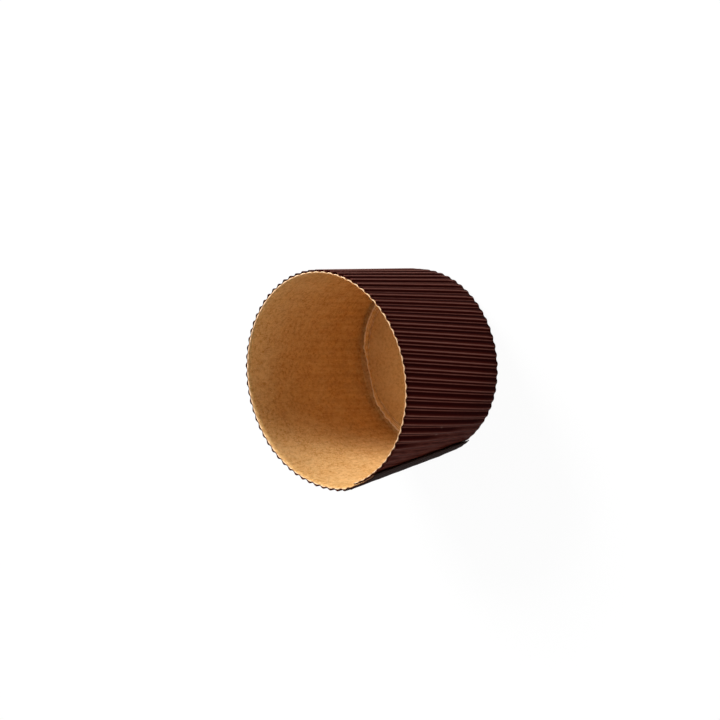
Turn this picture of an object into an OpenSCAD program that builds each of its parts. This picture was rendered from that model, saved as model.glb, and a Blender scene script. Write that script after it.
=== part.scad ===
// Paper mold for baking a small panettone: a tapered cup of single-face corrugated paper.
// A fluted sheet is glued to a smooth liner, the pair is rolled into a cone and lapped at one
// seam, and its lower end is folded in under a disc. Millimetres. The axis is +Z, the origin is
// the middle of the underside, and the seam faces -Y.

/* [Mold] */
// Height from the underside to the rim
mold_height = 51; // [35:1:70]
// Radius of the liner's outer face at the rim
mouth_radius = 35; // [28:1:45]
// Radius of the liner's outer face where the wall's line meets the floor
base_radius = 30.2; // [24:0.2:31]

/* [Corrugated paper] */
// Number of flutes that one turn of the rim takes
flutes_per_turn = 74; // [60:1:90]
// Height of a flute, with its paper
flute_height = 0.85; // [0.7:0.05:1.4]
// Thickness of the fluted paper
flute_paper = 0.2; // [0.15:0.05:0.25]
// Thickness of the smooth liner
liner_paper = 0.3; // [0.2:0.05:0.35]
// Angle between the flutes and the middle line of the flat sheet
flute_skew = -1.4; // [-3:0.2:3]
// Place of a crest beside the sheet's middle line, as a share of a flute
flute_shift = 0.15; // [-0.5:0.05:0.5]

/* [Seam] */
// Angle round the axis over which the two ends lap
lap_angle = 18; // [12:1:24]
// Angle by which the liner stops short of the fluted sheet at the outer end
liner_setback = 2.5; // [0:0.5:6]
// Height left to a flute where the ends are pressed together
pressed_share = 0.3; // [0.1:0.05:0.4]
// Angle past the lap that the press has flattened too
pressed_margin = 19; // [8:1:24]

/* [Hem and disc] */
// Width of the hem folded in under the disc
hem_width = 6; // [4:0.5:9]
// Height left to a flute in the hem
hem_share = 0.25; // [0.1:0.05:0.35]
// Inside radius of the fold between wall and hem, on the liner's outer face
fold_radius = 0.6; // [0.5:0.1:1.5]
// Clearance between the disc's edge and the place where the wall's line meets the floor
disc_clearance = 2.7; // [1:0.1:10.2]
// Thickness of the base disc
disc_paper = 0.3; // [0.2:0.05:0.5]
// Height of the disc's turned-up edge above its face
disc_lip = 1; // [0.2:0.1:1.5]

/* [Fit] */
// Clearance between glued faces
glue_gap = 0.08; // [0.08:0.01:0.12]
// Clearance between the two laps of the seam
lap_gap = 0.1; // [0.06:0.02:0.2]

/* [Hidden] */

// Flutes: the line through the middle of the paper rises by this much between the liner and a crest
flute_rise = flute_height - flute_paper;
// Hem: what the pressed flutes leave between the floor and the liner's lower face
hem_ref_z = glue_gap + flute_paper + hem_share * flute_rise;

// Cone of the liner's outer face
taper = atan2(mouth_radius - base_radius, mold_height);
fold_z = hem_ref_z + fold_radius;
wall_low_z = fold_z - fold_radius * sin(taper);
wall_low_radius = base_radius + wall_low_z * tan(taper);
fold_centre = wall_low_radius - fold_radius * cos(taper);
disc_radius = base_radius - disc_clearance;
// Distances along the wall from the tip of the cone, which is the middle of the flat sheet's arcs
rim_reach = mouth_radius / sin(taper);
low_reach = wall_low_radius / sin(taper);

// The sheet runs this far to either side of its middle line, counted round the axis
half_turn = 180 + lap_angle / 2;
// The lapped end climbs over the other one by this much
lap_lift = liner_paper + glue_gap + flute_paper + pressed_share * flute_rise + lap_gap;
lap_climb = 38;
press_ramp = 6;

// Flutes lie side by side in the flat sheet: x is the distance across them
pitch = 2 * PI * mouth_radius / flutes_per_turn;
flank_angle = atan2(flute_rise, pitch / 4);
mitre = flute_paper / 2 * tan(flank_angle / 2);
skew_turn = flute_skew / sin(taper);

liner_step = 4;
// Flutes near the seam wind round the cone, so the wall has this many straight spans
wall_spans = 4;
$fn = 180;

function mix(a, b, t) = a + (b - a) * t;
function ease(t) = let (c = min(1, max(0, t))) c * c * (3 - 2 * c);

// How far the sheet lies outside the plain cone: only the end that laps over the other climbs
function lift(turn) = lap_lift * ease((turn - (half_turn - lap_angle - lap_climb)) / (lap_climb - 2));

// Share of the flute height left at a turn: both ends are pressed flat
function crush(turn) =
    let (low = half_turn - lap_angle - pressed_margin,
         high = half_turn - lap_angle,
         near = turn < 0 ? (-turn - low) / press_ramp : (turn - high + press_ramp) / press_ramp)
    mix(1, pressed_share, ease(near));

// Point of the wall: reach from the cone's tip, turn from the middle line, distance out of the liner
function wall_point(reach, turn, out) =
    let (d = out + lift(turn),
         r = reach * sin(taper) + d * cos(taper),
         z = wall_low_z + (reach - low_reach) * cos(taper) - d * sin(taper))
    [r * cos(90 + turn), r * sin(90 + turn), z];

// Point of the fold: lean is 0 at the wall and 1 at the hem
function fold_point(lean, turn, out) =
    let (a = -mix(taper, 90, lean),
         r = fold_centre + lift(turn) + (fold_radius + out) * cos(a),
         z = fold_z + (fold_radius + out) * sin(a))
    [r * cos(90 + turn), r * sin(90 + turn), z];

// Point of the hem's free edge
function hem_point(turn, out) =
    let (r = fold_centre - hem_width)
    [r * cos(90 + turn), r * sin(90 + turn), hem_ref_z - out];

// Turn of the point that lies x across the flutes at a given reach
function turn_at(x, reach) = asin(max(-1, min(1, x / reach))) / sin(taper) + skew_turn;

// Height of the paper's middle line on a flute: four lines a flute, two on the crest, two on the liner
function on_crest(k) = (k % 4 + 4) % 4 < 2 ? 1 : 0;
function mitre_way(k) = let (m = (k % 4 + 4) % 4) (m == 0 || m == 3) ? -1 : 1;

// One line of the fluted sheet. side is 1 for its outer face and -1 for its inner face.
// full lines run to the hem, short ones end on the sheet's own end.
function flute_line(x, k, side, full) =
    let (xs = x + side * mitre_way(k) * mitre,
         crest = on_crest(k),
         edge = half_turn - sign(x) * skew_turn,
         end_reach = abs(xs) / sin(edge * sin(taper)),
         low = full == 0 ? end_reach : low_reach,
         out = function(turn, share) glue_gap + flute_paper / 2 * (1 + side)
               + crest * share * flute_rise,
         low_turn = turn_at(xs, low_reach))
    concat(
        [for (s = [0 : wall_spans])
            let (reach = mix(rim_reach, low, s / wall_spans), turn = turn_at(xs, reach))
            wall_point(reach, turn, out(turn, crush(turn)))],
        full < 2 ? [] :
            [for (lean = [0.5, 1])
                fold_point(lean, low_turn, out(low_turn, mix(crush(low_turn), hem_share, lean)))],
        full < 2 ? [] : [hem_point(low_turn, out(low_turn, hem_share))]
    );
function corner_line(way, side) =
    let (turn = way * half_turn)
    [wall_point(rim_reach, turn, glue_gap + flute_paper / 2 * (1 + side) + 0.5 * pressed_share * flute_rise)];

// One line of the liner, straight down the cone
function liner_line(turn, side, full) =
    let (out = side > 0 ? 0 : -liner_paper)
    concat(
        [wall_point(rim_reach, turn, out), wall_point(low_reach, turn, out)],
        full ? [fold_point(0.5, turn, out), fold_point(1, turn, out), hem_point(turn, out)] : []
    );

// Closed solid of a sheet given as lines of points from the rim to the free edge. Neighbouring
// lines may differ in length: the shared rows are joined, and the longer line gets a side. The
// diagonals run with the flutes, which lean to the left on one half and to the right on the other.
module sheet(outer, inner) {
    n = len(outer);
    rows = [for (line = outer) len(line)];
    start = [for (s = 0, i = 0; i < n; s = s + rows[i], i = i + 1) s];
    back = start[n - 1] + rows[n - 1];
    o = function(i, r) start[i] + r;
    b = function(i, r) back + start[i] + r;
    faces = concat(
        [for (i = [0 : n - 2], r = [0 : 1 : min(rows[i], rows[i + 1]) - 2])
            each i < n / 2
                ? concat(band(o(i, r), o(i + 1, r), o(i + 1, r + 1), o(i, r + 1)),
                         band(b(i + 1, r + 1), b(i + 1, r), b(i, r), b(i, r + 1)))
                : concat(band(o(i + 1, r), o(i + 1, r + 1), o(i, r + 1), o(i, r)),
                         band(b(i, r + 1), b(i + 1, r + 1), b(i + 1, r), b(i, r)))],
        [for (i = [0 : n - 2]) each band(o(i, 0), b(i, 0), b(i + 1, 0), o(i + 1, 0))],
        [for (i = [0 : n - 2])
            let (shared = min(rows[i], rows[i + 1]),
                 r = shared == 1 ? rows[i] - 1 : shared - 1,
                 q = shared == 1 ? rows[i + 1] - 1 : shared - 1)
            each band(o(i, r), o(i + 1, q), b(i + 1, q), b(i, r))],
        [for (i = [0 : n - 2]) if (rows[i + 1] == 1) each [for (r = [0 : rows[i] - 2])
            each [[o(i, r), o(i + 1, 0), o(i, r + 1)], [b(i, r), b(i, r + 1), b(i + 1, 0)]]]],
        [for (i = [0 : n - 2]) if (rows[i] == 1) each [for (r = [0 : rows[i + 1] - 2])
            each [[o(i, 0), o(i + 1, r), o(i + 1, r + 1)], [b(i, 0), b(i + 1, r + 1), b(i + 1, r)]]]],
        [for (i = [0 : n - 1])
            let (next = i == n - 1 ? 0 : rows[i + 1], first = next == 1 ? rows[i] : max(next - 1, 0))
            each [for (r = [first : 1 : rows[i] - 2]) each band(o(i, r), b(i, r), b(i, r + 1), o(i, r + 1))]],
        [for (i = [0 : n - 1])
            let (last = i == 0 ? 0 : rows[i - 1], first = last == 1 ? rows[i] : max(last - 1, 0))
            each [for (r = [first : 1 : rows[i] - 2]) each band(o(i, r), o(i, r + 1), b(i, r + 1), b(i, r))]]
    );
    polyhedron(points = concat([for (line = outer) each line], [for (line = inner) each line]),
               faces = faces, convexity = 12);
}
function band(a, b, c, d) = [[a, b, c], [a, c, d]];

module fluted_wrap() {
    end_left = half_turn + skew_turn;
    end_right = half_turn - skew_turn;
    // Where the ends of the sheet lie across the flutes, at the rim and at the fold
    rim_left = -rim_reach * sin(end_left * sin(taper));
    rim_right = rim_reach * sin(end_right * sin(taper));
    low_left = -low_reach * sin(end_left * sin(taper));
    low_right = low_reach * sin(end_right * sin(taper));
    // The hem stops short of the lap, so that the base stays flat there
    hem_right = low_reach * sin((half_turn - lap_angle - 0.8 - skew_turn) * sin(taper));
    room = mitre * 2;
    lines = [for (k = [floor(4 * rim_left / pitch) - 2 : ceil(4 * rim_right / pitch) + 2])
        let (x = (k - 0.5 + 4 * flute_shift) * pitch / 4)
        if (x > rim_left + room && x < rim_right - room
            && abs(x - low_left) > room && abs(x - low_right) > room && abs(x - hem_right) > room)
        [x, k, x < low_left || x > low_right ? 0 : x > hem_right ? 1 : 2]];
    face = function(side) concat([corner_line(-1, side)],
        [for (l = lines) flute_line(l[0], l[1], side, l[2])], [corner_line(1, side)]);
    color([0.24, 0.11, 0.08]) sheet(face(1), face(-1));
}

module kraft_liner() {
    steps = floor(2 * half_turn / liner_step);
    turns = [for (i = [0 : steps]) mix(-half_turn, half_turn - liner_setback, i / steps)];
    hem_stop = half_turn - lap_angle - 0.8;
    color([0.71, 0.49, 0.27])
        sheet([for (t = turns) liner_line(t, 1, t < hem_stop)], [for (t = turns) liner_line(t, -1, t < hem_stop)]);
}

module base_disc() {
    z = hem_ref_z + liner_paper + glue_gap;
    inner = disc_radius - 2 * disc_paper;
    color([0.76, 0.53, 0.29])
        rotate_extrude()
            polygon([[0, z], [inner, z], [disc_radius, z + disc_lip], [disc_radius - 0.5 * disc_paper,
                z + disc_lip + disc_paper], [inner - 0.4 * disc_paper, z + disc_paper], [0, z + disc_paper]]);
}

fluted_wrap();
kraft_liner();
base_disc();
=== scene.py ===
# %% [markdown]
# A small panettone mold in corrugated paper.
# A baker's paper mold is a cup made of three papers. The wall is single-face corrugated paper: a
# dark brown fluted sheet glued to a smooth kraft liner. The pair is cut as part of a ring, rolled
# into a cone, lapped at one seam and folded in at the bottom, where a kraft disc closes it.
# The solids of the three papers are the frame. This scene gives each one its finer shape and its
# finish, in the same place and at the same size.

# %% Load the frame
import math
from collections import namedtuple

import bmesh
import bpy
from mathutils import Matrix, Vector, noise


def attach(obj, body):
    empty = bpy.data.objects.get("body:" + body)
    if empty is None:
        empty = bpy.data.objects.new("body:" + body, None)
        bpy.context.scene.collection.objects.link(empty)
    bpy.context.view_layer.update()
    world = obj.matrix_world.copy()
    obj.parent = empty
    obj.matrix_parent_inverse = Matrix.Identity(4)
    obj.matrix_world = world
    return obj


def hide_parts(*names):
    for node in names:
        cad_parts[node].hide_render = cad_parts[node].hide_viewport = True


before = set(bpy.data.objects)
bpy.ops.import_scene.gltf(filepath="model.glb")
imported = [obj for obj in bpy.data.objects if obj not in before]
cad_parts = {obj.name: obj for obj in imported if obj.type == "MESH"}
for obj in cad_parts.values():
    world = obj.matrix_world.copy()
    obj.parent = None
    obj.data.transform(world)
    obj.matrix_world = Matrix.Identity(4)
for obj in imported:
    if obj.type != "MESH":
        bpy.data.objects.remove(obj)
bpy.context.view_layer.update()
mm = 0.001
print("papers in the frame:", sorted(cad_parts))

# %% [markdown]
# The wall is easiest to describe as the sheet that it was cut from. On the flat sheet the flutes are
# straight and side by side, and the rim and the fold are two arcs round one centre. Rolling the
# sheet up turns the distance from that centre into a place down the wall, and the angle into a turn
# round the mold. The flutes stay parallel on the sheet, so on the cone they lean towards the seam.
# The sizes are those of the solids, so the dressed papers fill the same space.

# %% Sizes of the mold
mouth_radius = 35 * mm
base_radius = 30.2 * mm
mold_height = 51 * mm
flutes_per_turn = 74
flute_height = 0.85 * mm
flute_paper = 0.2 * mm
liner_paper = 0.3 * mm
disc_paper = 0.3 * mm
glue_gap = 0.08 * mm
lap_gap = 0.1 * mm
lap_angle = math.radians(18)
lap_climb = math.radians(38)
liner_setback = math.radians(2.5)
pressed_share = 0.3
pressed_margin = math.radians(19)
press_ramp = math.radians(6)
hem_width = 6 * mm
hem_share = 0.25
fold_radius = 0.6 * mm
disc_clearance = 2.7 * mm
disc_lip = 1.0 * mm
flute_skew = math.radians(-1.4)
flute_shift = 0.15
print(f"mold is {mold_height / mm:.0f} mm high and {2 * mouth_radius / mm:.0f} mm across its mouth")

# %% Sizes that follow from them
taper = math.atan2(mouth_radius - base_radius, mold_height)
pitch = 2 * math.pi * mouth_radius / flutes_per_turn
flute_rise = flute_height - flute_paper
hem_top = glue_gap + flute_paper + hem_share * flute_rise
fold_z = hem_top + fold_radius
wall_low_z = fold_z - fold_radius * math.sin(taper)
wall_low_radius = base_radius + wall_low_z * math.tan(taper)
fold_centre = wall_low_radius - fold_radius * math.cos(taper)
rim_reach = mouth_radius / math.sin(taper)
low_reach = wall_low_radius / math.sin(taper)
half_turn = math.pi + lap_angle / 2
lap_start = half_turn - lap_angle
skew_turn = flute_skew / math.sin(taper)
lap_lift = liner_paper + glue_gap + flute_paper + pressed_share * flute_rise + lap_gap
end_left = (half_turn + skew_turn) * math.sin(taper)
end_right = (half_turn - skew_turn) * math.sin(taper)
print(f"flute pitch {pitch / mm:.2f} mm, cone leans out by {math.degrees(taper):.2f} degrees")

# %% [markdown]
# The camera looks into the mouth from above and is rolled, because in the picture the mold lies on
# its side while here it stands on its base. A short lens close by would widen the mouth against the
# base, so a long lens from about a metre away keeps the two nearly parallel, as in the picture.

# %% Camera
camera_azimuth = math.radians(-16.02)
camera_elevation = math.radians(46.72)
camera_roll = math.radians(-100.41)
camera_distance = 1.0376
camera_aim = Vector((-0.00241, 0.00507, 0.029))
camera_lens = 157.3


def place_camera():
    """Puts the camera on a sphere round the aim point and rolls it about its line of sight."""
    flat = math.cos(camera_elevation)
    sideways = Vector((math.cos(camera_azimuth), math.sin(camera_azimuth), 0))
    back = flat * sideways + Vector((0, 0, math.sin(camera_elevation)))
    right = Vector((0, 0, 1)).cross(back).normalized()
    up = back.cross(right)
    turn = Matrix((right, up, back)).transposed() @ Matrix.Rotation(camera_roll, 3, "Z")
    data = bpy.data.cameras.new("mold_camera")
    data.lens = camera_lens
    data.sensor_width = 36
    data.clip_start = 0.01
    eye = bpy.data.objects.new("mold_camera", data)
    eye.matrix_world = Matrix.Translation(camera_aim + back * camera_distance) @ turn.to_4x4()
    bpy.context.scene.collection.objects.link(eye)
    bpy.context.scene.camera = eye
    return eye


camera = place_camera()
print("camera stands at", tuple(round(v, 3) for v in camera.matrix_world.translation))

# %% [markdown]
# A node tree full of Math nodes is hard to read and to write. The nodes could be added one by one,
# but this small class lets the trees below be written as sums: it holds one output of a tree, and
# adding or multiplying it adds the node. The same class serves the shapes and the finishes.


# %% Arithmetic on node outputs
class Flow:
    """One number or vector that flows through a node tree."""

    def __init__(self, tree, socket):
        self.tree = tree
        self.socket = socket

    def math(self, operation, *others, clamp=False):
        """Adds a Math node that takes this number first, then the others."""
        node = self.tree.nodes.new("ShaderNodeMath")
        node.operation = operation
        node.use_clamp = clamp
        for slot, value in zip(node.inputs, (self, *others)):
            join(self.tree, value, slot)
        return Flow(self.tree, node.outputs[0])

    def __add__(self, other):
        return self.math("ADD", other)

    def __radd__(self, other):
        return self.math("ADD", other)

    def __sub__(self, other):
        return self.math("SUBTRACT", other)

    def __rsub__(self, other):
        return (self * -1) + other

    def __mul__(self, other):
        return self.math("MULTIPLY", other)

    def __rmul__(self, other):
        return self.math("MULTIPLY", other)

    def __truediv__(self, other):
        return self.math("DIVIDE", other)


def join(tree, value, slot):
    """Links a Flow to a socket, or sets the socket to a plain number."""
    if isinstance(value, Flow):
        tree.links.new(value.socket, slot)
    else:
        slot.default_value = value


# %% Steps and mixes of Flows
def clip(flow):
    """The flow, kept between 0 and 1."""
    return flow.math("ADD", 0.0, clamp=True)


def ease(flow):
    """A smooth step from 0 to 1 as the flow goes from 0 to 1."""
    kept = clip(flow)
    return kept * kept * (3 - 2 * kept)


def mix(start, end, share):
    """The value that lies the given share of the way from start to end."""
    return start + (end - start) * share


def band(flow, low, high):
    """Goes from 0 to 1 as the flow goes from low to high."""
    return clip((flow - low) / (high - low))


print("halfway from 2 to 4 is", mix(2, 4, 0.5))

# %% [markdown]
# The fluted sheet could be one flute repeated round the axis, but then every flute would run straight
# down the cone and the seam would be a plain copy too. The real sheet follows a rule at every point,
# so Geometry Nodes bend one flat grid into it: one way across the flutes, the other down the wall,
# round the fold and along the hem. The tree's inputs are the mold's own sizes. Both ends of the sheet
# are pressed flat where they are glued, the outer end climbs over the inner one and has its lower
# corner rounded off, and a few flutes are a little higher or lower than the rest.


# %% A tree with named inputs
def named_value(tree, name, size):
    """Adds a named input to the tree and returns its identifier."""
    socket = tree.interface.new_socket(name=name, in_out="INPUT", socket_type="NodeSocketFloat")
    socket.default_value = size
    return socket.identifier


def new_tree(name, sizes):
    """A geometry tree with one named input for each size.

    Returns the tree, its inputs as Flows, and the inputs' identifiers."""
    tree = bpy.data.node_groups.new(name, "GeometryNodeTree")
    keys = {title: named_value(tree, title, size) for title, size in sizes.items()}
    tree.interface.new_socket(name="Paper", in_out="INPUT", socket_type="NodeSocketMaterial")
    tree.interface.new_socket(name="Geometry", in_out="OUTPUT", socket_type="NodeSocketGeometry")
    entry = tree.nodes.new("NodeGroupInput")
    give = {title: Flow(tree, entry.outputs[title]) for title in sizes}
    give["Paper"] = Flow(tree, entry.outputs["Paper"])
    return tree, give, keys


def finish_tree(tree, geometry, material):
    """Ends a tree in Realize Instances and Set Material."""
    realize = tree.nodes.new("GeometryNodeRealizeInstances")
    paint = tree.nodes.new("GeometryNodeSetMaterial")
    leave = tree.nodes.new("NodeGroupOutput")
    tree.links.new(geometry, realize.inputs[0])
    tree.links.new(realize.outputs[0], paint.inputs["Geometry"])
    join(tree, material, paint.inputs["Material"])
    tree.links.new(paint.outputs[0], leave.inputs[0])


# %% A flat grid with its rows
wall_rows = 14
fold_rows = 5
hem_rows = 5
all_rows = wall_rows + fold_rows + hem_rows
crowding = 0.7


class PaperGrid:
    """A flat grid, with how far each of its points lies across and down the paper."""

    def __init__(self, tree, across_steps):
        grid = tree.nodes.new("GeometryNodeMeshGrid")
        grid.inputs["Size X"].default_value = 1
        grid.inputs["Size Y"].default_value = 1
        grid.inputs["Vertices X"].default_value = across_steps + 1
        grid.inputs["Vertices Y"].default_value = all_rows + 1
        place = tree.nodes.new("GeometryNodeInputPosition")
        split = tree.nodes.new("ShaderNodeSeparateXYZ")
        tree.links.new(place.outputs[0], split.inputs[0])
        self.mesh = grid.outputs["Mesh"]
        self.across = Flow(tree, split.outputs[0]) + 0.5
        self.row = (0.5 - Flow(tree, split.outputs[1])) * all_rows
        # Rows crowd towards the rim and the fold, where the paper changes most
        down = clip(self.row / wall_rows)
        self.down = mix(down, ease(down), crowding)
        self.lean = clip((self.row - wall_rows) / fold_rows)
        self.inward = clip((self.row - wall_rows - fold_rows) / hem_rows)


print("rows of each sheet:", wall_rows, "on the wall,", fold_rows, "round the fold,", hem_rows, "in")

# %% Where each paper lies on the flat pattern
Layout = namedtuple("Layout", "x reach turn low low_turn")
corner_cut = 1.1 * mm
corner_width = 7 * mm
corner_turn = math.radians(13)


def lay_out_flutes(grid):
    """Lays the fluted sheet out by the distance across its flutes.

    x is that distance, reach the distance from the cone's tip and turn the turn round the axis;
    low and low_turn are the last two at the sheet's lower end."""
    x = mix(-rim_reach * math.sin(end_left), rim_reach * math.sin(end_right), grid.across)
    end_sine = mix(math.sin(end_left), math.sin(end_right), x.math("GREATER_THAN", 0.0))
    corner = low_reach * math.sin(end_right)
    rounded = low_reach + corner_cut * ease((x - (corner - corner_width)) / corner_width)
    low = (x.math("ABSOLUTE") / end_sine).math("MAXIMUM", rounded)
    reach = mix(rim_reach, low, grid.down)
    turn = (x / reach).math("ARCSINE") / math.sin(taper) + skew_turn
    low_turn = (x / low).math("ARCSINE") / math.sin(taper) + skew_turn
    return Layout(x, reach, turn, low, low_turn)


def lay_out_liner(grid, give):
    """Lays the smooth liner out by its turn, because it has no flutes to keep straight."""
    half = give["Half turn"]
    turn = mix(half * -1, half - liner_setback, grid.across)
    rounded = low_reach + corner_cut * ease((turn - (half - corner_turn)) / corner_turn)
    reach = mix(rim_reach, rounded, grid.down)
    x = reach * ((turn - skew_turn) * math.sin(taper)).math("SINE")
    return Layout(x, reach, turn, turn * 0 + low_reach, turn)


print(f"the lap's lower corner is cut back by {corner_cut / mm:.1f} mm")

# %% How the press shapes the sheet
lap_top_turn = math.radians(2)
open_rim_band = 2.5 * mm
open_rim_turn = math.radians(5)
open_rim_share = 0.75


def flute_wave(x, behind=0.0):
    """1 on every crest and -1 in every valley; behind moves it down by that share of a flute."""
    return ((x / pitch + (behind - flute_shift)) * (2 * math.pi)).math("COSINE")


def lift_at(turn, give):
    """How far the end that laps over the other has climbed at a turn."""
    climb_start = give["Half turn"] - lap_angle - lap_climb
    return give["Lap lift"] * ease((turn - climb_start) / (lap_climb - lap_top_turn))


def share_left(lay, give):
    """Share of the flute height left: both ends are pressed flat, and spring open at the rim."""
    lap_from = give["Half turn"] - lap_angle
    left = ease((lay.turn * -1 - (lap_from - pressed_margin)) / press_ramp)
    right = ease((lay.turn - (lap_from - press_ramp)) / press_ramp)
    open_rim = ease((lay.reach - (rim_reach - open_rim_band)) / open_rim_band)
    open_rim = open_rim * ease((lap_from - lay.turn.math("ABSOLUTE")) / open_rim_turn)
    return mix(1, give["Pressed share"], left.math("MAXIMUM", right) * (1 - open_rim * open_rim_share))


print(f"the press flattens {math.degrees(lap_angle + pressed_margin):.0f} degrees at the inner end")

# %% How far each paper stands out of the cone
crest_fullness = 0.56
spring_band = 1.6 * mm
arch_roundness = 0.6


def flutes_out(tree, grid, give, lay):
    """Distance of the fluted sheet's middle from the liner's outer face."""
    number = (lay.x / pitch + (0.5 - flute_shift)).math("FLOOR")
    chance = tree.nodes.new("ShaderNodeTexWhiteNoise")
    chance.noise_dimensions = "1D"
    tree.links.new(number.socket, chance.inputs["W"])
    uneven = (Flow(tree, chance.outputs["Value"]) - 0.5) * give["Unevenness"]
    crest = clip(0.5 + flute_wave(lay.x) * crest_fullness) * (1 + uneven)
    foot = ease((lay.reach - low_reach) / give["Foot"])
    foot_share = mix(give["Foot share"], 1, foot.math("MAXIMUM", grid.lean))
    share = mix(share_left(lay, give), give["Hem share"], grid.lean) * foot_share
    return glue_gap + flute_paper / 2 + crest * share * give["Flute rise"]


def liner_out(grid, give, lay):
    """Distance of the liner's middle from its outer face.

    Each glue line draws the liner in a little, and at the cut rim it springs out between them,
    most of all on the side that the picture shows from close by."""
    near = mix(0.25, 1, clip(0.65 - 0.6 * (lay.turn + 0.6).math("SINE")))
    rim_share = ease((lay.reach - (rim_reach - spring_band)) / spring_band) * near
    springs = give["Washboard"] + give["Rim spring"] * rim_share
    arch = clip(0.5 + flute_wave(lay.x) * 0.5).math("POWER", arch_roundness)
    return arch * springs * share_left(lay, give) * (1 - grid.lean) - liner_paper / 2


print(f"the fluted sheet's middle starts {(glue_gap + flute_paper / 2) / mm:.2f} mm off the liner")


# %% Roll the pattern up
def rolled_place(tree, grid, give, lay, out):
    """Place in the mold of a point of the pattern that stands out from the liner's outer face."""
    raised = out + lift_at(lay.turn, give)
    wall_radius = lay.reach * math.sin(taper) + raised * math.cos(taper)
    along = (lay.reach - low_reach) * math.cos(taper)
    wall_height = wall_low_z + along - raised * math.sin(taper)
    bend = mix(taper, math.pi / 2, grid.lean)
    fold_out = fold_centre + lift_at(lay.low_turn, give) + (fold_radius + out) * bend.math("COSINE")
    fold_height = fold_z - (fold_radius + out) * bend.math("SINE")
    hem_out = mix(fold_out, fold_centre - hem_width, grid.inward)
    past_wall = grid.row.math("GREATER_THAN", wall_rows + 0.5)
    radius = mix(wall_radius, hem_out, past_wall)
    angle = lay.turn + math.pi / 2
    spot = tree.nodes.new("ShaderNodeCombineXYZ")
    join(tree, radius * angle.math("COSINE"), spot.inputs[0])
    join(tree, radius * angle.math("SINE"), spot.inputs[1])
    join(tree, mix(wall_height, fold_height, past_wall), spot.inputs[2])
    return spot.outputs[0]


print(f"the fold bends round a line {fold_centre / mm:.1f} mm from the axis, {fold_z / mm:.1f} mm up")

# %% Chart the sheet and trim its hem
fold_length = 2 * mm
hem_stop = lap_start - math.radians(0.8)


def keep_chart(tree, grid, lay):
    """Stores the flat sheet's own coordinates for the finish: across the flutes, and down."""
    chart = tree.nodes.new("ShaderNodeCombineXYZ")
    down = rim_reach - lay.reach + grid.lean * fold_length + grid.inward * hem_width
    join(tree, lay.x, chart.inputs[0])
    join(tree, down, chart.inputs[1])
    store = tree.nodes.new("GeometryNodeStoreNamedAttribute")
    store.data_type = "FLOAT2"
    store.domain = "CORNER"
    store.inputs["Name"].default_value = "sheet"
    tree.links.new(grid.mesh, store.inputs["Geometry"])
    tree.links.new(chart.outputs[0], store.inputs["Value"])
    return store.outputs[0]


def trim_hem(tree, grid, lay, charted):
    """Leaves the hem off where one end laps over the other, and past the sheet's own end.

    This is done on the flat grid: the rows are known there, and no longer once it is bent."""
    cut = tree.nodes.new("GeometryNodeDeleteGeometry")
    cut.domain = "FACE"
    over = lay.low_turn.math("GREATER_THAN", hem_stop)
    short = lay.low.math("GREATER_THAN", low_reach + 0.01 * mm)
    drop = over.math("MAXIMUM", short) * grid.row.math("GREATER_THAN", wall_rows + 0.2)
    tree.links.new(drop.socket, cut.inputs["Selection"])
    tree.links.new(charted, cut.inputs["Geometry"])
    return cut.outputs[0]


print(f"the hem runs from {-math.degrees(half_turn):.0f} to {math.degrees(hem_stop):.1f} degrees")


# %% The tree that rolls a sheet
def build_sheet_tree(name, sizes, across_steps, fluted):
    """Bends a grid into the rolled sheet: fluted for the brown paper, smooth for the liner."""
    tree, give, keys = new_tree(name, sizes)
    grid = PaperGrid(tree, across_steps)
    if fluted:
        lay = lay_out_flutes(grid)
        out = flutes_out(tree, grid, give, lay)
    else:
        lay = lay_out_liner(grid, give)
        out = liner_out(grid, give, lay)
    trimmed = trim_hem(tree, grid, lay, keep_chart(tree, grid, lay))
    bent = tree.nodes.new("GeometryNodeSetPosition")
    tree.links.new(trimmed, bent.inputs["Geometry"])
    tree.links.new(rolled_place(tree, grid, give, lay, out), bent.inputs["Position"])
    finish_tree(tree, bent.outputs[0], give["Paper"])
    return tree, keys


print(f"the sheet lies from {low_reach / mm:.0f} to {rim_reach / mm:.0f} mm from the cone's tip")

# %% [markdown]
# A finished tree is run on an empty mesh, and its result is copied to a plain mesh. The tree could
# give the paper both its faces, but one sheet in the middle is easier to bend without folding over
# itself, so Solidify adds the thickness afterwards, half to each side.


# %% From a tree to a paper
doubles_gap = 0.02 * mm


def material_input(tree):
    """The identifier of the tree's material input."""
    return next(s.identifier for s in tree.interface.items_tree if s.name == "Paper")


def plain_mesh(name, piece):
    """Copies what a piece's modifiers make to a new object with a plain mesh, and drops the piece."""
    graph = bpy.context.evaluated_depsgraph_get()
    made = bpy.data.meshes.new_from_object(piece.evaluated_get(graph))
    bpy.data.objects.remove(piece)
    result = bpy.data.objects.new(name, made)
    made.name = name
    bpy.context.scene.collection.objects.link(result)
    return result


def tidy_mesh(piece, gap):
    """Merges doubled points and drops faces with no area, before the sheet gets its thickness."""
    work = bmesh.new()
    work.from_mesh(piece.data)
    bmesh.ops.remove_doubles(work, verts=work.verts, dist=gap)
    bmesh.ops.dissolve_degenerate(work, edges=work.edges, dist=gap / 10)
    work.to_mesh(piece.data)
    work.free()


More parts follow.
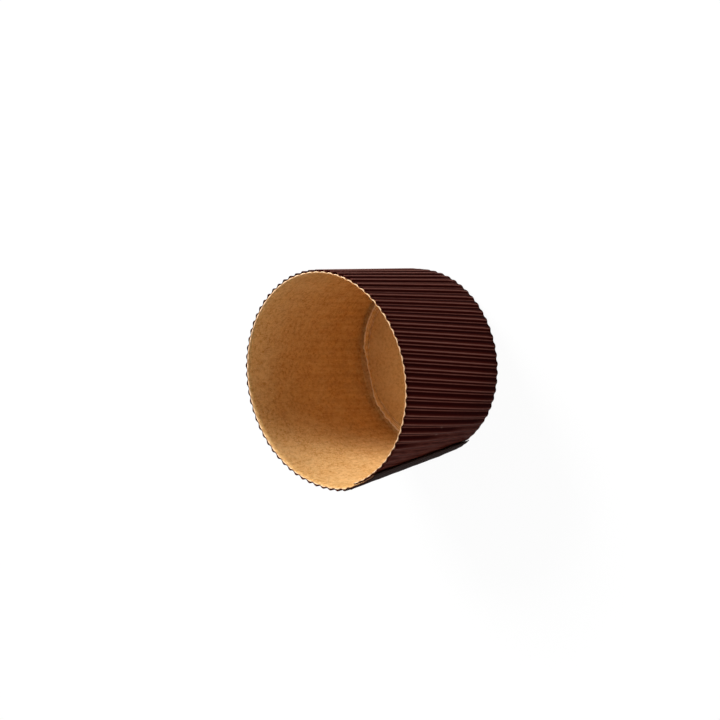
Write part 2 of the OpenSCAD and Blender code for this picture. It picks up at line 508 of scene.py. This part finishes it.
def run_tree(name, tree, keys, sizes, material, thickness):
    """Runs a sheet tree with these sizes and returns the paper as a plain mesh."""
    carrier = bpy.data.objects.new(name + "_carrier", bpy.data.meshes.new(name + "_carrier"))
    bpy.context.scene.collection.objects.link(carrier)
    roll = carrier.modifiers.new("roll", "NODES")
    roll.node_group = tree
    for title, size in sizes.items():
        roll[keys[title]] = size
    roll[material_input(tree)] = material
    flat = plain_mesh(name + "_flat", carrier)
    tidy_mesh(flat, doubles_gap)
    shell = flat.modifiers.new("thickness", "SOLIDIFY")
    shell.thickness = thickness
    shell.offset = 0
    shell.use_quality_normals = True
    return smooth(plain_mesh(name, flat))


def smooth(piece):
    """Shades every face of the piece smooth."""
    for face in piece.data.polygons:
        face.use_smooth = True
    return piece


print(f"points within {doubles_gap / mm:.2f} mm of each other become one")

# %% [markdown]
# Kraft paper is brown because its long wood fibres keep some of their lignin. Close up it is a
# mottle of lighter and darker fibre tufts. One flat colour would look like plastic, and a picture of
# paper would stretch over the cone. Here two noises give the mottle and a third, stretched along the
# sheet, gives the fibres; they read Object coordinates, so they are in the paper.


# %% Helpers for materials
class Finish:
    """A material and its shader, built up one layer at a time."""

    def __init__(self, name, roughness, specular=0.5):
        self.material = bpy.data.materials.new(name)
        self.material.use_nodes = True
        self.tree = self.material.node_tree
        self.shader = self.tree.nodes["Principled BSDF"]
        self.shader.inputs["Roughness"].default_value = roughness
        self.shader.inputs["Specular IOR Level"].default_value = specular
        self.where = self.tree.nodes.new("ShaderNodeTexCoord").outputs["Object"]

    def flow(self, socket):
        """A socket of this material's tree as a Flow."""
        return Flow(self.tree, socket)

    def grain(self, size, detail=3.0, stretch=(1, 1, 1), source=None):
        """A noise with lumps of the given size, from 0 to 1."""
        scale = self.tree.nodes.new("ShaderNodeMapping")
        scale.inputs["Scale"].default_value = stretch
        self.tree.links.new(source or self.where, scale.inputs["Vector"])
        lumps = self.tree.nodes.new("ShaderNodeTexNoise")
        lumps.inputs["Scale"].default_value = 1 / size
        lumps.inputs["Detail"].default_value = detail
        lumps.inputs["Roughness"].default_value = 0.6
        self.tree.links.new(scale.outputs[0], lumps.inputs["Vector"])
        return self.flow(lumps.outputs["Fac"])

    def sheet_place(self):
        """The flat sheet's coordinates: distance across the flutes, and down from the rim."""
        chart = self.tree.nodes.new("ShaderNodeUVMap")
        chart.uv_map = "sheet"
        parts = self.tree.nodes.new("ShaderNodeSeparateXYZ")
        self.tree.links.new(chart.outputs[0], parts.inputs[0])
        return chart.outputs[0], self.flow(parts.outputs[0]), self.flow(parts.outputs[1])

    def blend(self, under, over, share):
        """A colour that goes from under to over as the share goes from 0 to 1."""
        node = self.tree.nodes.new("ShaderNodeMix")
        node.data_type = "RGBA"
        join(self.tree, share, node.inputs[0])
        for colour, slot in ((under, node.inputs[6]), (over, node.inputs[7])):
            if isinstance(colour, Flow):
                self.tree.links.new(colour.socket, slot)
            else:
                slot.default_value = (*colour, 1)
        return self.flow(node.outputs[2])

    def colour(self, flow):
        """Sets the shader's colour."""
        self.tree.links.new(flow.socket, self.shader.inputs["Base Color"])

    def roughness(self, flow):
        """Sets the shader's roughness."""
        self.tree.links.new(flow.socket, self.shader.inputs["Roughness"])

    def relief(self, flow, depth):
        """Adds fine relief of the given depth in metres."""
        bump = self.tree.nodes.new("ShaderNodeBump")
        bump.inputs["Strength"].default_value = 1
        bump.inputs["Distance"].default_value = depth
        self.tree.links.new(flow.socket, bump.inputs["Height"])
        self.tree.links.new(bump.outputs[0], self.shader.inputs["Normal"])


def turn_on_sheet(x, y):
    """Turn round the axis of a place on the flat sheet."""
    return (x / (rim_reach - y)).math("ARCSINE") / math.sin(taper) + skew_turn


print(f"the flutes lean, which turns the flat sheet's middle by {math.degrees(skew_turn):.1f} degrees")

# %% Layers of the liner
ribs_from = 14 * mm
ribs_full = 40 * mm
cut_edge_ends = (0.25 * mm, 0.1 * mm)
covered_turn = math.radians(9)
shade_turns = (math.radians(0.5), math.radians(0.2))
# the cut edge: painted shade in a notch, the paler edge on a bulge
notch_shade = (0.50, 0.27, 0.12)
bulge_tint = (0.84, 0.56, 0.34)
# painted shade where the cut edge and the cut end lie under the lap
lap_edge_shade = (0.12, 0.055, 0.03)
under_lap_shade = (0.035, 0.014, 0.009)


def liner_layers(kraft, base, dark):
    """Fibres along the flutes, faint ribs where the flutes show through, and the cut edges, with
    painted shade along the ribs, in the notches and under the lap.

    Returns the colour and what it adds to the relief."""
    chart, x, y = kraft.sheet_place()
    fibres = kraft.grain(0.55 * mm, detail=3, stretch=(1, 0.16, 1), source=chart)
    base = kraft.blend(base, dark, band(fibres, 0.53, 0.7) * 0.55)
    rib = flute_wave(x)
    depth = band(y, ribs_from, ribs_full)
    # Painted shade darkens the liner along each flute, more towards the base; the ribs also get real
    # relief
    base = kraft.blend(base, dark, band(rib, 0.1, 1) * depth * 0.3)

    # The rim is a cut edge, pale on its bulges, with painted shade in its notches and where it runs
    # under the lap
    cut_edge = kraft.blend(notch_shade, bulge_tint, band(rib, -0.8, 0.2))
    seam_x = rim_reach * math.sin((half_turn - covered_turn) * math.sin(taper))
    cut_edge = kraft.blend(cut_edge, lap_edge_shade, band(x, seam_x, seam_x + 1 * mm))
    base = kraft.blend(base, cut_edge, band(y, *cut_edge_ends))

    # Painted shade darkens the cut end that lies under the lap
    shade_band = (half_turn - liner_setback - turn for turn in shade_turns)
    base = kraft.blend(base, under_lap_shade, band(turn_on_sheet(x, y), *shade_band) * 0.9)
    return base, rib * depth * 0.8 + fibres * 0.5


print("liner's cut edge:", notch_shade, "in a notch and", bulge_tint, "on a bulge")

# %% Layers of the disc
lip_reach = 1.2 * mm
crimp_pitch = 0.6 * mm
lip_crease_shade = (0.34, 0.155, 0.04)
crimp_tint = (0.86, 0.60, 0.34)
torn_tint = (0.88, 0.66, 0.42)


def disc_layers(kraft, base, dark):
    """A crimped lip with painted shade in the crease at its foot and a paler torn edge.

    Returns the colour and what it adds to the relief."""
    y = kraft.sheet_place()[2]
    patches = kraft.grain(5 * mm, detail=2)
    lip = band(y, -1.3 * mm, -0.9 * mm)
    breaks = kraft.grain(1.6 * mm, detail=3)
    crimps = band((y * (2 * math.pi / crimp_pitch) + patches * 4).math("COSINE"), 0.0, 0.9)
    torn_edge = band(y, lip_reach - 0.55 * mm, lip_reach - 0.2 * mm)
    # Painted shade in the crease at the lip's foot
    base = kraft.blend(base, lip_crease_shade, lip * band(y, 0.1 * mm, -0.3 * mm) * 0.35)
    base = kraft.blend(base, crimp_tint, lip * crimps * band(breaks, 0.36, 0.56) * 0.8)
    base = kraft.blend(base, torn_tint, torn_edge * band(breaks, 0.25, 0.5))
    return base, lip * crimps


print(f"disc's lip is {lip_reach / mm:.1f} mm wide, with a crimp every {crimp_pitch / mm:.1f} mm")


# %% Kraft paper
def kraft_paper(name, pale, middle, dark, add_layers):
    """Natural kraft: pale and dark fibre tufts on a middle brown, then the piece's own layers."""
    kraft = Finish(name, roughness=0.85, specular=0.05)
    tufts = kraft.grain(1.1 * mm, detail=5)
    specks = kraft.grain(0.4 * mm, detail=2)
    clouds = kraft.grain(8 * mm, detail=2)
    base = kraft.blend(dark, middle, band(tufts, 0.34, 0.56))
    base = kraft.blend(base, pale, band(specks, 0.5, 0.72) * 0.6)
    base = kraft.blend(base, pale, band(clouds, 0.45, 0.75) * 0.3)
    base, ridges = add_layers(kraft, base, dark)
    kraft.colour(base)
    kraft.relief(tufts * 0.5 + specks * 0.5 + ridges, 0.045 * mm)
    return kraft.material


liner_kraft = ((0.83, 0.57, 0.285), (0.64, 0.372, 0.138), (0.44, 0.215, 0.055))
disc_kraft = ((0.80, 0.51, 0.22), (0.68, 0.395, 0.145), (0.53, 0.28, 0.085))
liner_finish = kraft_paper("kraft_liner_paper", *liner_kraft, liner_layers)
disc_finish = kraft_paper("kraft_disc_paper", *disc_kraft, disc_layers)
print("kraft papers:", liner_finish.name, disc_finish.name)

# %% [markdown]
# The fluted sheet is dyed a dark chocolate brown through its whole thickness. Each flute carries a
# painted highlight along one shoulder and a fainter painted highlight in the valley, with painted
# shade on the steep side between them. Gloss alone could make such lines, but they would slide with
# the light, so they are painted along the flat sheet's own coordinates and stay on their flutes
# however the sheet is rolled. Where the ends were pressed flat the paper is streaked, with painted
# shade along its creases, and two small scuffs show near the outer end.

# %% Tones of the brown paper
flute_brown = (0.026, 0.0013, 0.0005)
flute_brown_light = (0.042, 0.0036, 0.0016)
# painted shade for each flute's steep side and a thin painted shadow, then the painted highlight of
# its lines
steep_side_shade = (0.013, 0.0003, 0.0001)
crest_shadow = (0.014, 0.0006, 0.0002)
painted_highlight = (0.14, 0.056, 0.043)
pressed_brown = (0.042, 0.006, 0.003)
pressed_streak = (0.105, 0.032, 0.023)
# painted shade for the creases of the pressed ends
crease_shade = (0.016, 0.0008, 0.0003)
scuff_brown = (0.15, 0.09, 0.075)
# painted shade for the outer end's strip next to the lap
lap_shade = (0.011, 0.005, 0.004)
scuff_places = ((-75.3 * mm, 24.3 * mm), (-78.2 * mm, 23.1 * mm))
scuff_width = 0.45 * mm
scuff_length = 0.9 * mm
print("scuffs on the flat sheet:", scuff_places)

# %% Lines along the flutes
shoulder_place = 0.10
valley_place = 0.46


def flute_line(x, behind, narrow):
    """A line along each flute, the given share of a flute behind its crest."""
    return band(flute_wave(x, behind), narrow, 1)


def flute_tone(brown, x, mottle, clouds, pressed):
    """The dyed paper with painted shade on its steep side, a thin painted shadow and two painted
    highlight lines on each flute.
    """
    shade = brown.blend(flute_brown, flute_brown_light, band(mottle, 0.35, 0.7))
    # Painted shade on the steep side and a thin painted shadow past the crest
    shade = brown.blend(shade, steep_side_shade, flute_line(x, 0.72, -0.1) * (1 - pressed))
    shade = brown.blend(shade, crest_shadow, flute_line(x, 0.29, 0.8) * (1 - pressed) * 0.9)
    # Painted highlights: a line on one shoulder and a fainter one in the valley
    shoulder = flute_line(x, shoulder_place, 0.88) * (0.7 + clouds * 0.6)
    valley = flute_line(x, valley_place, 0.88) * (0.45 + clouds * 0.6)
    highlight_share = shoulder + valley + flute_line(x, 0.03, 0.5) * 0.06
    return brown.blend(shade, painted_highlight, clip(highlight_share) * (1 - pressed * 0.6))


for title, place in (("shoulder", shoulder_place), ("valley", valley_place)):
    print(f"the {title}'s line runs {place * pitch / mm:.2f} mm past the crest")

# %% Pressed ends and scuffs
def pressed_tone(brown, shade, x, streak, clouds, pressed):
    """Streaked paper, with painted shade along broken creases, where the flutes were pressed flat."""
    flat_tone = brown.blend(pressed_brown, pressed_streak, band(streak, 0.42, 0.66))
    shade = brown.blend(shade, flat_tone, pressed * 0.8)
    # Painted shade along the broken creases of the pressed paper
    shaded_creases = clip(flute_line(x, 0.28, 0.72) + flute_line(x, 0.74, 0.55)) * band(clouds, 0.3, 0.55)
    return brown.blend(shade, crease_shade, shaded_creases * pressed * 0.75)


def scuffed(brown, shade, x, y, mottle):
    """Two small spots where the dye is rubbed."""
    for scuff_x, scuff_y in scuff_places:
        across, along = (x - scuff_x) / scuff_width, (y - scuff_y) / scuff_length
        scuff = band((across * across + along * along).math("SQRT"), 1.1, 0.2)
        shade = brown.blend(shade, scuff_brown, scuff * band(mottle, 0.3, 0.6) * 0.8)
    return shade


# %% Dark brown fluted paper
def brown_paper():
    """Dark brown paper with two painted highlight lines a flute, smoother where the ends were pressed
    flat, with painted shade on the outer end's strip.
    """
    brown = Finish("brown_fluted_paper", roughness=0.5, specular=0.004)
    mottle = brown.grain(0.5 * mm, detail=4)
    clouds = brown.grain(6 * mm, detail=2)
    chart, x, y = brown.sheet_place()
    streak = brown.grain(0.35 * mm, detail=3, stretch=(1, 0.05, 1), source=chart)
    turn = turn_on_sheet(x, y)
    pressed_from = lap_start - pressed_margin
    pressed = band(turn.math("ABSOLUTE"), pressed_from, pressed_from + press_ramp)
    shade = flute_tone(brown, x, mottle, clouds, pressed)
    shade = pressed_tone(brown, shade, x, streak, clouds, pressed)
    shade = scuffed(brown, shade, x, y, mottle)
    # Painted shade darkens the outer end's strip next to the lap
    shaded_outer_end = band(turn, pressed_from + press_ramp, lap_start)
    brown.colour(brown.blend(shade, lap_shade, shaded_outer_end * 0.92))
    brown.roughness(0.42 + mottle * 0.16)
    brown.relief(mottle + streak * 0.4, 0.03 * mm)
    return brown.material


brown_finish = brown_paper()
print("brown paper:", brown_finish.name)

# %% Roll the two sheets
flute_columns = 1216
liner_columns = 1000
shared_sizes = {
    "Half turn": half_turn,
    "Lap lift": lap_lift,
    "Pressed share": pressed_share,
    "Hem share": hem_share,
}
flute_sizes = {
    **shared_sizes,
    "Flute rise": flute_rise,
    "Unevenness": 0.12,
    "Foot": 5 * mm,
    "Foot share": 0.5,
}
liner_sizes = {**shared_sizes, "Washboard": 0.05 * mm, "Rim spring": 0.34 * mm}
flute_tree, flute_keys = build_sheet_tree("rolled_fluted_sheet", flute_sizes, flute_columns, True)
fluted_paper = run_tree(
    "fluted_paper", flute_tree, flute_keys, flute_sizes, brown_finish, flute_paper
)
liner_tree, liner_keys = build_sheet_tree("rolled_liner", liner_sizes, liner_columns, False)
liner_sheet = run_tree(
    "kraft_liner_sheet", liner_tree, liner_keys, liner_sizes, liner_finish, liner_paper
)
for paper in (fluted_paper, liner_sheet):
    print(paper.name, len(paper.data.polygons), "faces")

# %% [markdown]
# The disc is stamped from heavier kraft and pushed in on top of the hem. Its rim turns up against
# the wall, where it comes out crimped and a little ragged, with one wide dent on the far side. A
# lathe would give a perfect edge, and sculpting couldn't be repeated. So each ring of a profile has
# a radius, a height and a share of the noise that runs round the edge, and the rings are joined.

# %% Profile of the disc
disc_radius = base_radius - disc_clearance
disc_under = hem_top + liner_paper + glue_gap
disc_foot = disc_radius - 2 * disc_paper
flat_radius = disc_foot - 0.9 * mm
flat_shares = (0.08, 0.2, 0.35, 0.5, 0.65, 0.8, 0.9, 0.95)
bead = ((-1.1, 0.0, 0.1), (-0.9, 0.12, 0.3), (-0.7, 0.16, 0.4), (-0.45, 0.02, 0.3), (-0.15, 0.0, 0.2))
lip_shares = (0.1, 0.25, 0.4, 0.55, 0.7, 0.85, 1.0)
lip_lean = 0.5 * mm


def disc_profile():
    """Place along the sheet from the lip's foot, radius, height and raggedness of each ring."""
    rings = [(-disc_foot * (1 - share), disc_foot * share, 0, 0) for share in flat_shares]
    for along, height, ragged in bead:
        rings.append((along * mm, disc_foot + along * mm, height * mm, ragged))
    for share in lip_shares:
        radius = disc_foot + lip_lean * share ** 1.3
        rings.append((share * lip_reach, radius, disc_lip * 0.95 * share, 0.2 + 0.8 * share))
    return rings


print(len(disc_profile()), "rings from the middle to the lip")

# %% Raggedness of the disc's edge
dent_angle = math.radians(166)
dent_way = Vector((math.cos(dent_angle), math.sin(dent_angle), 0))
dent_width = math.radians(17)


def edge_noise(way, often, seed):
    """Noise from about -1 to 1 that runs round the edge the given number of times."""
    return noise.noise(way * often + Vector((seed, 0, seed))) * 1.6


def edge_shape(way):
    """How the lip stands at one place of the edge: how far it is dented, torn and crimped."""
    dent = math.exp(-((way.angle(dent_way) / dent_width) ** 2))
    torn = 0.5 * edge_noise(way, 5, 1) + 0.5 * edge_noise(way, 16, 5) + 0.4 * edge_noise(way, 45, 9)
    crimp = 0.6 * edge_noise(way, 11, 3) + 0.6 * edge_noise(way, 34, 7)
    return dent, torn, crimp


print(f"the dent faces {math.degrees(dent_angle):.0f} degrees round from +X")

# %% Rings of the disc
disc_turns = 720
lip_flare = 0.8 * mm
dent_depth = 0.92
ragged_size = 0.4 * mm
disc_middle = disc_under + disc_paper / 2


def edge_point(way, shape, ring):
    """Point of one ring in one direction, with the dent, the tears and the crimps applied."""
    dent, torn, crimp = shape
    along, radius, height, ragged = ring
    flared = radius + max(along / lip_reach, 0) * lip_flare
    if flared > flat_radius:
        flared = flat_radius + (flared - flat_radius) * (1 - dent_depth * dent)
    inset = max(ragged * (0.5 + 0.5 * crimp) * ragged_size, 0)
    rise = height + ragged * (torn + 0.1) * ragged_size
    return way * (flared - inset) + Vector((0, 0, disc_middle + rise))


def disc_sheet():
    """The disc's middle sheet as a mesh: rings round a centre point, charted by their place."""
    work = bmesh.new()
    chart = work.loops.layers.uv.new("sheet")
    centre = work.verts.new((0, 0, disc_middle))
    profile = disc_profile()
    rings = [[] for ring in profile]
    for step in range(disc_turns):
        angle = 2 * math.pi * step / disc_turns
        way = Vector((math.cos(angle), math.sin(angle), 0))
        shape = edge_shape(way)
        for points, ring in zip(rings, profile):
            points.append(work.verts.new(edge_point(way, shape, ring)))
    for step in range(disc_turns):
        after = (step + 1) % disc_turns
        work.faces.new((centre, rings[0][step], rings[0][after]))
        for inner, outer in zip(rings, rings[1:]):
            work.faces.new((inner[step], outer[step], outer[after], inner[after]))
    places = {vert: (0.0, ring[0]) for points, ring in zip(rings, profile) for vert in points}
    places[centre] = (0.0, -disc_foot)
    for face in work.faces:
        for loop in face.loops:
            loop[chart].uv = places[loop.vert]
    made = bpy.data.meshes.new("kraft_disc_flat")
    work.to_mesh(made)
    work.free()
    return made


print("the disc's sheet has", disc_turns * len(disc_profile()), "faces")


# %% Base disc
def make_disc():
    """The disc with its thickness and finish."""
    made = disc_sheet()
    made.materials.append(disc_finish)
    piece = bpy.data.objects.new("kraft_disc_flat", made)
    bpy.context.scene.collection.objects.link(piece)
    shell = piece.modifiers.new("thickness", "SOLIDIFY")
    shell.thickness = disc_paper * 0.9
    shell.offset = 0
    return smooth(plain_mesh("kraft_disc", piece))


kraft_disc = make_disc()
print("disc edge is", round(disc_radius / mm, 1), "mm from the axis")

# %% [markdown]
# The three papers are glued, so none moves against the others. Each dressed paper rides on the one
# body and stands for the solid of the same paper, and its finish bears the name of that solid's slot.

# %% Tie each paper to the frame
for piece, node, slot in (
    (fluted_paper, "fluted_wrap", "brown_fluted_paper"),
    (liner_sheet, "kraft_liner", "kraft_liner_paper"),
    (kraft_disc, "base_disc", "kraft_disc_paper"),
):
    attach(piece, "root")
    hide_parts(node)
    print(piece.name, "stands for", node)

# %% [markdown]
# The mold stands on a plain white table. More light would whiten the table but burn out the kraft.
# So the table and the world show white to the camera, while the light on the mold stays at a level
# where a colour renders about as it is written.


# %% Floor and world
floor_half = 6
floor_drop = 0.2 * mm
floor_whiteness = 0.96
world_strength = 0.165


def white_to_the_eye(tree):
    """1 for rays from the camera, from gloss and through glass, 0 for the rest."""
    seen = tree.nodes.new("ShaderNodeLightPath")
    kinds = ("Is Camera Ray", "Is Glossy Ray", "Is Transmission Ray")
    camera_ray, gloss_ray, through_ray = (Flow(tree, seen.outputs[kind]) for kind in kinds)
    return camera_ray.math("MAXIMUM", gloss_ray).math("MAXIMUM", through_ray)


def white_floor():
    """A wide floor at the mold's foot: white to the eye, with a little of its shading kept."""
    made = bpy.data.meshes.new("white_floor")
    ways = ((-1, -1), (1, -1), (1, 1), (-1, 1))
    corners = [(x * floor_half, y * floor_half, -floor_drop) for x, y in ways]
    made.from_pydata(corners, [], [(0, 1, 2, 3)])
    floor = bpy.data.objects.new("white_floor", made)
    bpy.context.scene.collection.objects.link(floor)
    paint = bpy.data.materials.new("white_floor_paint")
    paint.use_nodes = True
    tree = paint.node_tree
    shader = tree.nodes["Principled BSDF"]
    shader.inputs["Base Color"].default_value = (0.9, 0.9, 0.9, 1)
    shader.inputs["Roughness"].default_value = 0.9
    glow = tree.nodes.new("ShaderNodeEmission")
    both = tree.nodes.new("ShaderNodeMixShader")
    join(tree, white_to_the_eye(tree) * floor_whiteness, both.inputs[0])
    tree.links.new(shader.outputs[0], both.inputs[1])
    tree.links.new(glow.outputs[0], both.inputs[2])
    tree.links.new(both.outputs[0], tree.nodes["Material Output"].inputs["Surface"])
    made.materials.append(paint)
    return floor


def pale_world(strength):
    """Even white light from all round, and plain white where it is seen."""
    world = bpy.data.worlds.new("pale_world")
    world.use_nodes = True
    bpy.context.scene.world = world
    tree = world.node_tree
    join(tree, mix(strength, 1.0, white_to_the_eye(tree)), tree.nodes["Background"].inputs["Strength"])
    tree.nodes["Background"].inputs["Color"].default_value = (1, 1, 1, 1)


floor = white_floor()
pale_world(world_strength)
print("floor lies", round(-floor.data.vertices[0].co.z / mm, 2), "mm under the mold")

# %% [markdown]
# The main light is one soft window lamp above the +Y side of the mold. It reaches over the rim and
# falls on the opposite half of the liner. The window alone would leave the disc and the outer wall
# too dark to read, so a weak lamp overhead reaches the disc, and two more keep the flutes on the
# shaded side readable. They are weak, so that the paper keeps its own tone.


# %% Lamps
def soft_lamp(name, place, aim, size, power):
    """A square area lamp that faces a point."""
    data = bpy.data.lights.new(name, "AREA")
    data.size = size
    data.energy = power
    lamp = bpy.data.objects.new(name, data)
    lamp.location = place
    lamp.rotation_euler = (Vector(aim) - Vector(place)).to_track_quat("-Z", "Y").to_euler()
    bpy.context.scene.collection.objects.link(lamp)
    return lamp


mold_middle = (0, 0, mold_height / 2)
lamps = [
    soft_lamp("window", (-0.12, 0.80, 0.76), mold_middle, 0.36, 20),
    soft_lamp("ceiling", (-0.25, 0.2, 1.1), mold_middle, 0.6, 2.1),
    soft_lamp("fill", (-0.05, -0.8, 0.45), mold_middle, 0.4, 0.85),
    soft_lamp("side", (0.6, -0.55, 0.06), mold_middle, 0.3, 1.9),
]
bpy.context.scene.view_settings.view_transform = "Standard"
for lamp in lamps:
    print(lamp.name, "lamp:", round(lamp.data.energy, 2), "W")
